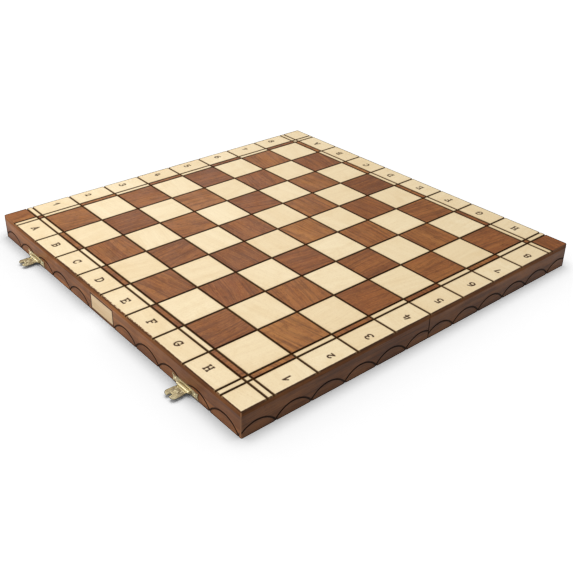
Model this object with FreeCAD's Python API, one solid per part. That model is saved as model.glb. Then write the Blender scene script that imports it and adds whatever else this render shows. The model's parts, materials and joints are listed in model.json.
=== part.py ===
import FreeCAD, Part
import math
import os

# A folding chess board: two shallow wooden trays hinged along the middle, with the playing
# surface on the outside, so that they close face to face into a flat box.
# Millimetres. +X runs along the files from A to H, +Y along the ranks from 1 to 8, +Z is up.
# The origin is the middle of the fold line, on the plane of the tray rims.

# Playing surface
square = 49.0                 # side of one field, groove to groove
files = 8
strip_width = 7.0             # thin strip round the field
border_width = 28.0           # cells that carry the coordinates
veneer_thickness = 1.5
groove_width = 2.0            # burnt line between two inlaid pieces
tile_arris = 0.25             # broken edge beside a groove
board_arris = 0.6             # sanded edge along the rim of the board

# Trays
half_height = 28.0            # rim to playing surface
panel_thickness = 4.0
rail_thickness = 10.0
corner_radius = 1.2
seam_gap = 0.6                # between the two spine rails
lining_thickness = 1.0
lining_margin = 0.4

# Carved scallops along the rails
scallop_pitch = 40.5
scallop_rise = 11.5           # rim of the tray to the top of a scallop
scallop_base = 1.2            # height at which two scallops cross
scallop_width = 1.3
scallop_depth = 0.8
scallop_lead = 2.5            # past the middle of their rail, going round the board
scallops_per_front_run = 5    # on each side of the plaque
scallops_per_short_rail = 6

# Plaque in the front rail
plaque_width = 44.0
plaque_bottom = 2.0           # rim of the tray to the plaque
plaque_headroom = 2.7         # plaque to the panel
plaque_thickness = 1.2
plaque_gap = 0.8              # burnt line round it
plaque_margin = 3.0           # plaque to the space of the scallops

# Butt hinges in the fold
hinge_inset = 81.0            # end of the spine rail to the middle of a hinge
hinge_length = 32.0
leaf_height = 13.0
leaf_thickness = 1.0
leaf_corner = 1.5
leaf_gap = 0.1                # between the two leaves when the board lies open
knuckle_count = 5
knuckle_radius = 1.6
knuckle_gap = 0.2
hinge_pin_radius = 0.8
mortise_clearance = 0.3
hinge_screw_spread = 20.0
screw_head_radius = 1.9
screw_radius = 0.85
screw_length = 7.0
screw_point = 1.5
screw_slot = 0.5
screw_sink = 0.05             # head below the face of its leaf

# Latches on the front rail
latch_inset = 81.0            # end of the front rail to the middle of a latch
latch_plate_length = 41.0
latch_plate_height = 7.0
latch_plate_bottom = 1.4
plate_thickness = 0.8
latch_barrel_radius = 1.5
latch_barrel_length = 14.0
latch_ear_length = 2.4
latch_ear_gap = 0.2
latch_pin_radius = 0.6
tongue_length = 16.5          # pivot to tip
tongue_width = 15.0
tongue_thickness = 0.9
tongue_notch_width = 3.4
tongue_notch_depth = 4.0

# Catches on the rear rail
catch_plate_length = 27.0
catch_plate_height = 8.0
stud_radius = 1.4
stud_height = 2.4
stud_rounding = 0.6
stud_clearance = 0.35         # to the end of the tongue's notch

# Nails in the latch plates and catches
latch_nail_spread = 30.0
catch_nail_spread = 21.0
nail_head_radius = 1.2
nail_head_height = 0.6
nail_radius = 0.5
nail_length = 6.0

# Fits
press_clearance = 0.02
running_clearance = 0.06
hole_clearance = 0.05
overrun = 1.0                 # how far a cutting tool reaches past a face

# Shares of a plate's half length and height that shape its forked ends
fork_shoulder_share = 0.62
fork_waist_shares = (0.80, 0.90)
fork_tip_shares = (1.0, 1.06)
fork_notch_shares = (0.92, 0.5)

# Shares of the tongue's half width and length that shape its outline
tongue_neck_share = 0.12
tongue_hip_shares = (0.9, 0.2)
tongue_wide_share = 0.32
tongue_lobe_share = 0.70
tongue_lobe_mid_shares = (0.93, 0.90)
tongue_end_share = 0.66

# Worked-out sizes
board_side = files * square + 2 * strip_width + 2 * border_width
half_side = board_side / 2
rail_height = half_height - veneer_thickness - panel_thickness
panel_top = half_height - veneer_thickness
seam_face = seam_gap / 2
plaque_height = rail_height - plaque_bottom - plaque_headroom
scallop_bow = scallop_rise - scallop_base
scallop_radius = (scallop_pitch ** 2 / 4 + scallop_bow ** 2) / (2 * scallop_bow)
scallops_on_rear = math.floor(board_side / scallop_pitch)
front_run_middle = (half_side + plaque_width / 2 + plaque_margin) / 2
leaf_face = leaf_gap / 2
leaf_back = leaf_face + leaf_thickness
leaf_bottom = knuckle_radius + mortise_clearance
leaf_middle = (leaf_bottom + leaf_height) / 2
latch_pivot_y = -(half_side + plate_thickness + latch_ear_gap + latch_barrel_radius)
latch_pivot_height = latch_plate_bottom + latch_plate_height / 2
latch_nail_height = latch_pivot_height
stud_reach = tongue_length - tongue_notch_depth + stud_clearance + stud_radius
catch_height = stud_reach - latch_pivot_height
hinge_places = {"left": hinge_inset - half_side, "right": half_side - hinge_inset}
latch_places = {"left": latch_inset - half_side, "right": half_side - latch_inset}

along_x = FreeCAD.Vector(1, 0, 0)
along_y = FreeCAD.Vector(0, 1, 0)
along_z = FreeCAD.Vector(0, 0, 1)
centre = FreeCAD.Vector(0, 0, 0)


def vec(x, y, z=0.0):
    return FreeCAD.Vector(x, y, z)


def box(x0, x1, y0, y1, z0, z1):
    return Part.makeBox(x1 - x0, y1 - y0, z1 - z0, vec(x0, y0, z0))


def rod(radius, length, start, direction):
    return Part.makeCylinder(radius, length, start, direction)


def prism(points, z0, z1):
    wire = Part.makePolygon([vec(x, y, z0) for x, y in points + points[:1]])
    return Part.Face(wire).extrude(along_z * (z1 - z0))


def turned(shape):
    # the far half is the near half turned half round about the upright axis
    copy = shape.copy()
    copy.rotate(centre, along_z, 180)
    return copy


def group(shapes):
    return Part.makeCompound(shapes)


# Plan of the near half: square at the fold, rounded at the two outer corners
def near_slab(z0, z1):
    side, bend = half_side, corner_radius
    bulge = bend * (1 - math.sqrt(0.5))
    corners = {
        "left_up": vec(-side, -seam_face, z0),
        "left_low": vec(-side, -side + bend, z0),
        "left_arc": vec(-side + bulge, -side + bulge, z0),
        "low_left": vec(-side + bend, -side, z0),
        "low_right": vec(side - bend, -side, z0),
        "right_arc": vec(side - bulge, -side + bulge, z0),
        "right_low": vec(side, -side + bend, z0),
        "right_up": vec(side, -seam_face, z0),
    }
    at = corners.get
    outline = [
        Part.LineSegment(at("left_up"), at("left_low")),
        Part.Arc(at("left_low"), at("left_arc"), at("low_left")),
        Part.LineSegment(at("low_left"), at("low_right")),
        Part.Arc(at("low_right"), at("right_arc"), at("right_low")),
        Part.LineSegment(at("right_low"), at("right_up")),
        Part.LineSegment(at("right_up"), at("left_up")),
    ]
    wire = Part.Wire([piece.toShape() for piece in outline])
    return Part.Face(wire).extrude(along_z * (z1 - z0))


# Rails of a half, mitred at the corners
def mitred_rail(points):
    return near_slab(0.0, rail_height).common(prism(points, 0.0, rail_height))


def rail_plans():
    out, inner = half_side, half_side - rail_thickness
    fold, spine = -seam_face, -seam_face - rail_thickness
    return {
        "outer": [(-out, -out), (out, -out), (inner, -inner), (-inner, -inner)],
        "left": [(-out, fold), (-out, -out), (-inner, -inner), (-inner, spine)],
        "right": [(out, -out), (out, fold), (inner, spine), (inner, -inner)],
        "spine": [(-out, fold), (-inner, spine), (inner, spine), (out, fold)],
    }


def scallop_ring(start, direction):
    depth = overrun + scallop_depth
    rim = rod(scallop_radius + scallop_width / 2, depth, start, direction)
    return rim.cut(rod(scallop_radius - scallop_width / 2, depth, start, direction))


def run_places(middle, count):
    return [middle + (number - (count - 1) / 2) * scallop_pitch for number in range(count)]


def outer_scallop(x):
    return scallop_ring(vec(x, -half_side - overrun, scallop_rise - scallop_radius), along_y)


def front_scallops():
    left = run_places(-front_run_middle - scallop_lead, scallops_per_front_run)
    right = run_places(front_run_middle - scallop_lead, scallops_per_front_run)
    return [outer_scallop(x) for x in left + right]


def rear_scallops():
    return [outer_scallop(x) for x in run_places(0.0, scallops_on_rear)]


def side_scallops(side):
    rail_middle = -(half_side + seam_face) / 2
    rings = []
    for y in run_places(rail_middle + side * scallop_lead, scallops_per_short_rail):
        start = vec(side * (half_side + overrun), y, scallop_rise - scallop_radius)
        rings.append(scallop_ring(start, along_x * -side))
    return rings


def plaque_block(width, height, depth):
    low = plaque_bottom + (plaque_height - height) / 2
    return box(-width / 2, width / 2, -half_side, -half_side + depth, low, low + height)


def nail_holes(middles, spread, height):
    reach = overrun + nail_length + hole_clearance
    holes = []
    for middle in middles:
        for end in (-1, 1):
            start = vec(middle + end * spread / 2, -half_side - overrun, height)
            holes.append(rod(nail_radius + hole_clearance, reach, start, along_y))
    return holes


def hinge_seats():
    # mortise for a leaf, room for the knuckles, and holes for the screws, in the near spine rail
    tools = []
    length = hinge_length + 2 * mortise_clearance
    for middle in hinge_places.values():
        x0, x1 = middle - length / 2, middle + length / 2
        tools.append(box(x0, x1, -leaf_back, overrun, -overrun, leaf_height + mortise_clearance))
        tools.append(rod(leaf_bottom, length, vec(x0, 0.0, 0.0), along_x))
        for end in (-1, 1):
            start = vec(middle + end * hinge_screw_spread / 2, 0.0, leaf_middle)
            reach = leaf_back + screw_length + screw_point + hole_clearance
            tools.append(rod(screw_radius + hole_clearance, reach, start, -along_y))
    return tools


def build_rails():
    plans = rail_plans()
    seat_width, seat_height = plaque_width + 2 * plaque_gap, plaque_height + 2 * plaque_gap
    plaque_seat = plaque_block(seat_width, seat_height, plaque_thickness)
    front = mitred_rail(plans["outer"]).cut(front_scallops()).cut(plaque_seat)
    front = front.cut(nail_holes(latch_places.values(), latch_nail_spread, latch_nail_height))
    rear = mitred_rail(plans["outer"]).cut(rear_scallops())
    rear = rear.cut(nail_holes(latch_places.values(), catch_nail_spread, catch_height))
    left = mitred_rail(plans["left"]).cut(side_scallops(-1))
    right = mitred_rail(plans["right"]).cut(side_scallops(1))
    spine = mitred_rail(plans["spine"]).cut(hinge_seats())
    return {
        "near_front_rail": front,
        "near_left_rail": left,
        "near_right_rail": right,
        "near_spine_rail": spine,
        "far_rear_rail": turned(rear),
        "far_left_rail": turned(right),
        "far_right_rail": turned(left),
        "far_spine_rail": turned(spine),
    }


# Panels and felt
def build_panels():
    panel = near_slab(rail_height, panel_top)
    inner = half_side - rail_thickness - lining_margin
    spine = -seam_face - rail_thickness - lining_margin
    felt = box(-inner, inner, -inner, spine, rail_height - lining_thickness, rail_height)
    return {
        "near_panel": panel,
        "far_panel": turned(panel),
        "near_felt_lining": felt,
        "far_felt_lining": turned(felt),
    }


# Inlay. Column and row numbers: -2 border, -1 strip, 0 to 7 fields, 8 strip, 9 border.
def grid_line(number):
    if number <= 0:
        return -half_side + (0.0, border_width, border_width + strip_width)[number + 2]
    if number <= files:
        return -files * square / 2 + number * square
    return half_side - (border_width, 0.0)[number - files - 1]


def span(number):
    # a piece stops half a groove short of each line, but runs out to the edge of the board
    low, high = grid_line(number), grid_line(number + 1)
    low += 0.0 if number == -2 else groove_width / 2
    high -= 0.0 if number == files + 1 else groove_width / 2
    return low, high


def on_rim(edge):
    spot = edge.CenterOfMass
    near_edge = half_side - corner_radius
    return abs(spot.x) > half_side - tile_arris or spot.y < -half_side + tile_arris or (
        abs(spot.x) > near_edge and spot.y < -near_edge)


def top_edges(shape):
    return [edge for edge in shape.Edges if edge.BoundBox.ZMin > half_height - tile_arris / 2]


def on_rim_side(edge):
    # after the rim is chamfered its upper edge lies one arris in from the side of the board
    spot = edge.CenterOfMass
    limit = half_side - board_arris - tile_arris
    bend = half_side - corner_radius - board_arris
    return abs(spot.x) > limit or spot.y < -limit or (abs(spot.x) > bend and spot.y < -bend)


def tile(column, row):
    x0, x1 = span(column)
    y0, y1 = span(row)
    shape = box(x0, x1, y0, y1, panel_top, half_height)
    if column in (-2, files + 1) and row == -2:
        shape = shape.common(near_slab(panel_top, half_height)).Solids[0]
    rim = [edge for edge in top_edges(shape) if on_rim(edge)]
    if rim:
        shape = shape.makeChamfer(board_arris, rim)
    beside_grooves = [edge for edge in top_edges(shape) if not on_rim_side(edge)]
    return shape.makeChamfer(tile_arris, beside_grooves)


def kind_of_tile(column, row):
    dark = (column + row) % 2 == 0
    outer = [number in (-2, files + 1) for number in (column, row)]
    strip = [number in (-1, files) for number in (column, row)]
    tone = "dark" if dark else "light"
    if all(outer):
        return tone + "_corner"
    if any(outer):
        return "light_strips" if any(strip) else "coordinate_cells"
    if any(strip):
        return tone + "_strips"
    return tone + "_squares"


def build_inlay():
    kinds = {}
    for row in range(-2, files // 2):
        for column in range(-2, files + 2):
            kinds.setdefault(kind_of_tile(column, row), []).append(tile(column, row))
    nodes = {}
    for kind, tiles in kinds.items():
        nodes["near_" + kind] = group(tiles)
        nodes["far_" + kind] = turned(group(tiles))
    return nodes


# Butt hinges. The near leaf has the odd knuckles, and the far leaf the ones between them.
def hinge_leaf(middle, own_knuckles, bore):
    x0 = middle - hinge_length / 2
    length = (hinge_length - (knuckle_count - 1) * knuckle_gap) / knuckle_count
    plate = box(x0, x0 + hinge_length, -leaf_back, -leaf_face, leaf_bottom, leaf_height)
    corners = [edge for edge in plate.Edges
               if edge.BoundBox.ZMin > leaf_height - leaf_gap and edge.BoundBox.YLength > leaf_gap]
    corners = [edge for edge in corners if edge.BoundBox.XLength < leaf_gap]
    plate = plate.makeFillet(leaf_corner, corners)
    for number in own_knuckles:
        start = x0 + number * (length + knuckle_gap)
        plate = plate.fuse(box(start, start + length, -leaf_back, -leaf_face, 0.0, leaf_bottom))
        plate = plate.fuse(rod(knuckle_radius, length, vec(start, 0.0, 0.0), along_x))
    plate = plate.cut(rod(bore, hinge_length + 2 * overrun, vec(x0 - overrun, 0.0, 0.0), along_x))
    for end in (-1, 1):
        face = vec(middle + end * hinge_screw_spread / 2, -leaf_face, leaf_middle)
        plate = plate.cut(screw_head(face, screw_sink + hole_clearance, hole_clearance))
    return plate.removeSplitter()


def screw_head(face, rise, clearance):
    # countersunk head as a cone through the leaf, with a short neck up to the face
    cone_top = face - along_y * screw_sink
    head = Part.makeCone(screw_head_radius + clearance, screw_radius + clearance,
                         leaf_thickness - screw_sink, cone_top, -along_y)
    if rise > 0:
        head = head.fuse(rod(screw_head_radius + clearance, rise, cone_top, along_y))
    return head


def hinge_screw(middle):
    face = vec(middle, -leaf_face, leaf_middle)
    screw = screw_head(face, 0.0, 0.0)
    neck = vec(middle, -leaf_back, leaf_middle)
    screw = screw.fuse(rod(screw_radius, screw_length, neck, -along_y))
    point = neck - along_y * screw_length
    screw = screw.fuse(Part.makeCone(screw_radius, 0.0, screw_point, point, -along_y))
    slot = box(middle - screw_head_radius, middle + screw_head_radius, -leaf_face - screw_slot, overrun,
               leaf_middle - screw_slot / 2, leaf_middle + screw_slot / 2)
    return screw.cut(slot).removeSplitter()


def build_hinges():
    nodes = {}
    screws = []
    near_knuckles = range(0, knuckle_count, 2)
    far_knuckles = range(1, knuckle_count, 2)
    for side, middle in hinge_places.items():
        near_leaf = hinge_leaf(middle, near_knuckles, hinge_pin_radius + press_clearance)
        far_leaf = hinge_leaf(-middle, far_knuckles, hinge_pin_radius + running_clearance)
        start = vec(middle - hinge_length / 2, 0.0, 0.0)
        nodes[side + "_hinge_near_leaf"] = near_leaf
        nodes[side + "_hinge_far_leaf"] = turned(far_leaf)
        nodes[side + "_hinge_pin"] = rod(hinge_pin_radius, hinge_length, start, along_x)
        for end in (-1, 1):
            screws.append(hinge_screw(middle + end * hinge_screw_spread / 2))
    nodes["near_hinge_screws"] = group(screws)
    nodes["far_hinge_screws"] = turned(group(screws))
    return nodes


# Stamped plate with forked ends, standing on the outer face of the front rail
def forked_plate(middle, low, length, height):
    def at(along_share, height_share, end=1):
        return vec(middle + end * along_share * length / 2, -half_side, low + height_share * height)

    waist_x, waist_z = fork_waist_shares
    tip_x, tip_z = fork_tip_shares
    edges = []
    for end in (1, -1):
        upper, lower = (1.0, 0.0) if end > 0 else (0.0, 1.0)
        sign = upper - lower
        first, last = at(fork_shoulder_share, upper, end), at(fork_shoulder_share, lower, end)
        tip_one, tip_two = at(tip_x, lower + sign * tip_z, end), at(tip_x, upper - sign * tip_z, end)
        edges.append(Part.Arc(first, at(waist_x, lower + sign * waist_z, end), tip_one))
        edges.append(Part.Arc(tip_one, at(*fork_notch_shares, end), tip_two))
        edges.append(Part.Arc(tip_two, at(waist_x, upper - sign * waist_z, end), last))
        edges.append(Part.LineSegment(last, at(fork_shoulder_share, lower, -end)))
    wire = Part.Wire([edge.toShape() for edge in edges])
    return Part.Face(wire).extrude(-along_y * plate_thickness)


def punched(plate, middle, spread, height):
    # the two nail holes of a plate
    length = plate_thickness + 2 * overrun
    for end in (-1, 1):
        start = vec(middle + end * spread / 2, -half_side - plate_thickness - overrun, height)
        plate = plate.cut(rod(nail_radius + hole_clearance, length, start, along_y))
    return plate.removeSplitter()


def latch_plate(middle):
    plate = forked_plate(middle, latch_plate_bottom, latch_plate_length, latch_plate_height)
    inner = latch_barrel_length / 2 + latch_ear_gap
    face = -half_side - plate_thickness
    low, high = latch_pivot_height - latch_barrel_radius, latch_pivot_height + latch_barrel_radius
    for start in (middle + inner, middle - inner - latch_ear_length):
        plate = plate.fuse(box(start, start + latch_ear_length, latch_pivot_y, face, low, high))
        pivot = vec(start, latch_pivot_y, latch_pivot_height)
        plate = plate.fuse(rod(latch_barrel_radius, latch_ear_length, pivot, along_x))
        bore_start = pivot - along_x * overrun
        bore_length = latch_ear_length + 2 * overrun
        plate = plate.cut(rod(latch_pin_radius + press_clearance, bore_length, bore_start, along_x))
    return punched(plate, middle, latch_nail_spread, latch_nail_height)


def tongue_outline(middle, z):
    wide = tongue_width / 2
    neck = latch_barrel_length / 2
    notch = tongue_notch_width / 2

    def at(half_width, along, end):
        return vec(middle + end * half_width, latch_pivot_y - along, z)

    def flank(end):
        root = at(neck, 0.0, end)
        throat = at(neck, tongue_neck_share * tongue_length, end)
        hip = at(tongue_hip_shares[0] * wide, tongue_hip_shares[1] * tongue_length, end)
        wide_start = at(wide, tongue_wide_share * tongue_length, end)
        wide_end = at(wide, tongue_lobe_share * tongue_length, end)
        lobe = at(tongue_lobe_mid_shares[0] * wide, tongue_lobe_mid_shares[1] * tongue_length, end)
        tip = at(tongue_end_share * wide, tongue_length, end)
        mouth = at(notch, tongue_length, end)
        floor = at(notch, tongue_length - tongue_notch_depth, end)
        return [
            Part.LineSegment(root, throat),
            Part.Arc(throat, hip, wide_start),
            Part.LineSegment(wide_start, wide_end),
            Part.Arc(wide_end, lobe, tip),
            Part.LineSegment(tip, mouth),
            Part.LineSegment(mouth, floor),
        ]

    across = Part.LineSegment(at(notch, tongue_length - tongue_notch_depth, -1),
                              at(notch, tongue_length - tongue_notch_depth, 1))
    back = Part.LineSegment(at(neck, 0.0, 1), at(neck, 0.0, -1))
    pieces = flank(-1) + [across] + flank(1) + [back]
    return Part.Wire(Part.__sortEdges__([piece.toShape() for piece in pieces]))


def latch_tongue(middle):
    # the plate leaves the underside of its rolled barrel, so that it lies flat on the rails when closed
    low = latch_pivot_height - latch_barrel_radius
    blade = Part.Face(tongue_outline(middle, low)).extrude(along_z * tongue_thickness)
    start = vec(middle - latch_barrel_length / 2, latch_pivot_y, latch_pivot_height)
    barrel = rod(latch_barrel_radius, latch_barrel_length, start, along_x)
    bore_start = start - along_x * overrun
    bore_length = latch_barrel_length + 2 * overrun
    bore = rod(latch_pin_radius + running_clearance, bore_length, bore_start, along_x)
    return blade.fuse(barrel).cut(bore).removeSplitter()


def nail(x, height):
    face = -half_side - plate_thickness
    shank = rod(nail_radius, plate_thickness + nail_length, vec(x, face, height), along_y)
    dome = (nail_head_radius ** 2 + nail_head_height ** 2) / (2 * nail_head_height)
    ball = Part.makeSphere(dome, vec(x, face - nail_head_height + dome, height))
    outside = box(x - dome, x + dome, face - dome, face, height - dome, height + dome)
    cap = ball.common(outside)
    return cap.fuse(shank).removeSplitter()


def catch(middle):
    # built on the near side like a latch plate, then turned to the rear rail
    low = catch_height - catch_plate_height / 2
    plate = forked_plate(middle, low, catch_plate_length, catch_plate_height)
    face = vec(middle, -half_side - plate_thickness, catch_height)
    stud = rod(stud_radius, stud_height, face, -along_y)
    tip = [edge for edge in stud.Edges if edge.BoundBox.YMax < face.y - stud_height / 2
           and edge.BoundBox.YLength < stud_rounding]
    plate = plate.fuse(stud.makeFillet(stud_rounding, tip))
    return punched(plate, middle, catch_nail_spread, catch_height)


def build_latches():
    nodes = {}
    latch_nails = []
    catch_nails = []
    pin_half = latch_barrel_length / 2 + latch_ear_gap + latch_ear_length
    for side, middle in latch_places.items():
        start = vec(middle - pin_half, latch_pivot_y, latch_pivot_height)
        nodes[side + "_latch_plate"] = latch_plate(middle)
        nodes[side + "_latch_pin"] = rod(latch_pin_radius, 2 * pin_half, start, along_x)
        nodes[side + "_latch_tongue"] = latch_tongue(middle)
        nodes[side + "_catch"] = turned(catch(-middle))
        for end in (-1, 1):
            latch_nails.append(nail(middle + end * latch_nail_spread / 2, latch_nail_height))
            catch_nails.append(nail(middle + end * catch_nail_spread / 2, catch_height))
    nodes["latch_nails"] = group(latch_nails)
    nodes["catch_nails"] = turned(group(catch_nails))
    return nodes


def build():
    nodes = {"blank_plaque": plaque_block(plaque_width, plaque_height, plaque_thickness)}
    for part in (build_rails, build_panels, build_inlay, build_hinges, build_latches):
        nodes.update(part())
    return nodes


def main():
    os.makedirs("parts", exist_ok=True)
    for name, shape in build().items():
        shape.exportStep("parts/" + name + ".step")
        print(name, len(shape.Solids), "solids", round(shape.Volume, 1), "mm3, valid", shape.isValid())


main()
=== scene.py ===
import json
import math
import random

import bmesh
import bpy
import numpy as np
from mathutils import Matrix, Vector

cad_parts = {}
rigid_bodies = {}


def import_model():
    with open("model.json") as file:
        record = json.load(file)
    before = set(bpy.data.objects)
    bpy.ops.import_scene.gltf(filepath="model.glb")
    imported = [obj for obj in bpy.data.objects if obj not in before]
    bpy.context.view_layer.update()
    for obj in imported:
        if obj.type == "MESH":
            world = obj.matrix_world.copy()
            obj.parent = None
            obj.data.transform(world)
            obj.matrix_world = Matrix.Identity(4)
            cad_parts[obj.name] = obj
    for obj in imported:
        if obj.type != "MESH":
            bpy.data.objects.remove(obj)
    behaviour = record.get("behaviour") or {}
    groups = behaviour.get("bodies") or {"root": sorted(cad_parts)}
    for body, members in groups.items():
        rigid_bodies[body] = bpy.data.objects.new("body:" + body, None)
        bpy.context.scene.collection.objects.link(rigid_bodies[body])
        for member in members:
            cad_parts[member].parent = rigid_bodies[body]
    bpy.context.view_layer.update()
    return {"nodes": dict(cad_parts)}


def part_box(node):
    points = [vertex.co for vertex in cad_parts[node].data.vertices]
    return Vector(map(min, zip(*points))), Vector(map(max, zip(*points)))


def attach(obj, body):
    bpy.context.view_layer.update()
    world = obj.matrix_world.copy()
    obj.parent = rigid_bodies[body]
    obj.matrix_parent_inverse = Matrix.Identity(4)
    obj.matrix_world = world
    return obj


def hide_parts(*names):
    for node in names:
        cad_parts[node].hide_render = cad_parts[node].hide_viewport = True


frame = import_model()
nodes = frame["nodes"]

# the board's own lines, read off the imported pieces, in metres
cellsLow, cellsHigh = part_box("near_coordinate_cells")
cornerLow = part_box("near_light_corner")[0]
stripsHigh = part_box("near_dark_strips")[1]
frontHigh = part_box("near_front_rail")[1]
spineLow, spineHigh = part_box("near_spine_rail")
plaqueLow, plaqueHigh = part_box("blank_plaque")
board = {
    "side": cellsHigh.x,                         # middle to rim
    "top": cellsHigh.z,
    "inlayFloor": cellsLow.z,
    "railTop": frontHigh.z,
    "front": frontHigh.y,                        # inside of the front rail
    "groove": cornerLow.x - stripsHigh.x,        # burnt line between two inlaid pieces
    "strip": (cornerLow.x + stripsHigh.x) / 2,   # middle to the line outside the strips
    "seam": -spineHigh.y,                        # half the gap at the fold
    "rail": -spineLow.y,                         # from the fold to the inside of the spine rail
    "halfCount": 4,                              # squares from the middle to the edge of the field
}
board["field"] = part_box("near_light_squares")[1].x + board["groove"] / 2
board["square"] = board["field"] / board["halfCount"]
print("frame loaded:", len(nodes), "nodes, board", round(board["side"] * 2, 3), "m wide")


# node helpers

def tint(red, green, blue):
    # screen colour, 0 to 255, as a linear one
    return tuple(((c / 255 + 0.055) / 1.055) ** 2.4 for c in (red, green, blue)) + (1.0,)


def addNode(tree, kind, **settings):
    made = tree.nodes.new(kind)
    for name, value in settings.items():
        setattr(made, name, value)
    return made


def feed(tree, socket, source):
    if isinstance(source, bpy.types.NodeSocket):
        tree.links.new(source, socket)
    else:
        socket.default_value = source


def feedAll(tree, sockets, sources):
    for socket, source in zip(sockets, sources):
        feed(tree, socket, source)


def calc(tree, operation, *terms, clamp=False):
    made = addNode(tree, "ShaderNodeMath", operation=operation, use_clamp=clamp)
    feedAll(tree, made.inputs, terms)
    return made.outputs[0]


def times(tree, first, second):
    return calc(tree, "MULTIPLY", first, second)


def timesAdd(tree, first, second, third):
    return calc(tree, "MULTIPLY_ADD", first, second, third)


def minus(tree, first, second):
    return calc(tree, "SUBTRACT", first, second)


def absolute(tree, value):
    return calc(tree, "ABSOLUTE", value)


def vecCalc(tree, operation, first, second):
    made = addNode(tree, "ShaderNodeVectorMath", operation=operation)
    feedAll(tree, made.inputs, (first, second))
    return made.outputs[0]


def splitXyz(tree, vector):
    made = addNode(tree, "ShaderNodeSeparateXYZ")
    feed(tree, made.inputs[0], vector)
    return made.outputs[0], made.outputs[1], made.outputs[2]


def joinXyz(tree, x, y, z):
    made = addNode(tree, "ShaderNodeCombineXYZ")
    feedAll(tree, made.inputs, (x, y, z))
    return made.outputs[0]


def remap(tree, value, low, high, toLow=0.0, toHigh=1.0):
    # smooth step between two values, clamped at both ends
    made = addNode(tree, "ShaderNodeMapRange", interpolation_type="SMOOTHSTEP")
    feedAll(tree, made.inputs, (value, low, high, toLow, toHigh))
    return made.outputs[0]


def noiseAt(tree, vector, perMetre, detail=2.0, rough=0.5, distort=0.0):
    # perMetre is one count for all ways, or one for each axis
    counts = perMetre if isinstance(perMetre, tuple) else (perMetre,) * 3
    made = addNode(tree, "ShaderNodeTexNoise", noise_dimensions="3D")
    feed(tree, made.inputs["Vector"], vecCalc(tree, "MULTIPLY", vector, counts))
    made.inputs["Scale"].default_value = 1.0
    made.inputs["Detail"].default_value = detail
    made.inputs["Roughness"].default_value = rough
    made.inputs["Distortion"].default_value = distort
    return made.outputs[0]


def mixValue(tree, mask, under, over):
    made = addNode(tree, "ShaderNodeMix", data_type="FLOAT")
    feedAll(tree, (made.inputs[0], made.inputs[2], made.inputs[3]), (mask, under, over))
    return made.outputs[0]


def mixVector(tree, mask, under, over):
    made = addNode(tree, "ShaderNodeMix", data_type="VECTOR")
    feedAll(tree, (made.inputs[0], made.inputs[4], made.inputs[5]), (mask, under, over))
    return made.outputs[1]


def mixColour(tree, mask, under, over):
    made = addNode(tree, "ShaderNodeMix", data_type="RGBA")
    feedAll(tree, (made.inputs[0], made.inputs[6], made.inputs[7]), (mask, under, over))
    return made.outputs[2]


def glaze(tree, colour, mask, share, over):
    # a second colour over the first where the mask is, at a share of its strength
    return mixColour(tree, times(tree, mask, share), colour, over)


def placeOf(tree):
    return addNode(tree, "ShaderNodeTexCoord").outputs["Object"]


def rimAway(tree, x, y):
    # how far in from the outer faces
    farther = calc(tree, "MAXIMUM", absolute(tree, x), absolute(tree, y))
    return minus(tree, board["side"], farther)


socketKinds = {"Float": "NodeSocketFloat", "Colour": "NodeSocketColor", "Vector": "NodeSocketVector"}


def newGroup(name, takes, gives):
    group = bpy.data.node_groups.new(name, "ShaderNodeTree")
    for label, value in takes.items():
        kind = "Vector" if isinstance(value, tuple) else "Float"
        socket = group.interface.new_socket(label, in_out="INPUT", socket_type=socketKinds[kind])
        socket.default_value = value
    for label, kind in gives.items():
        group.interface.new_socket(label, in_out="OUTPUT", socket_type=socketKinds[kind])
    return group, group.nodes.new("NodeGroupInput").outputs, group.nodes.new("NodeGroupOutput").inputs


def placeGroup(tree, group, **values):
    made = addNode(tree, "ShaderNodeGroup", node_tree=group)
    for label, value in values.items():
        feed(tree, made.inputs[label], value)
    return made.outputs


# effects that several finishes share

def makePieceLot():
    # random values that stay the same over one inlaid piece
    group, takes, gives = newGroup("pieceLot", {"Seed": 0.0},
                                   {"Tone": "Float", "Warmth": "Float", "Turn": "Float"})
    spots = []
    for value in splitXyz(group, placeOf(group))[:2]:
        away = absolute(group, value)
        spot = calc(group, "FLOOR", calc(group, "DIVIDE", value, board["square"]))
        # strips and border draw lots of their own
        for line, step in ((board["field"], 7.0), (board["strip"], 13.0)):
            spot = timesAdd(group, calc(group, "GREATER_THAN", away, line), step, spot)
        spots.append(spot)
    lot = addNode(group, "ShaderNodeTexWhiteNoise", noise_dimensions="3D")
    feed(group, lot.inputs["Vector"], joinXyz(group, *spots, takes["Seed"]))
    parts = addNode(group, "ShaderNodeSeparateColor")
    feed(group, parts.inputs[0], lot.outputs["Color"])
    for label, part in zip(("Tone", "Warmth", "Turn"), parts.outputs):
        feed(group, gives[label], part)
    return group


# counts per metre, detail, roughness and distortion of each noise, and the span of it that shows
grainLayers = {
    "Fibre": {"noise": ((42.0, 1350.0, 1350.0), 3.0, 0.62, 0.0), "span": (0.28, 0.74)},
    "Figure": {"noise": ((9.0, 95.0, 95.0), 2.0, 0.55, 0.7), "span": (0.30, 0.70)},
    "Streak": {"noise": ((15.0, 430.0, 430.0), 3.0, 0.6, 0.0), "span": (0.42, 0.66)},
    "Pores": {"noise": ((240.0, 2300.0, 2300.0), 1.0, 0.5, 0.0), "span": (0.60, 0.72)},
}


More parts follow.
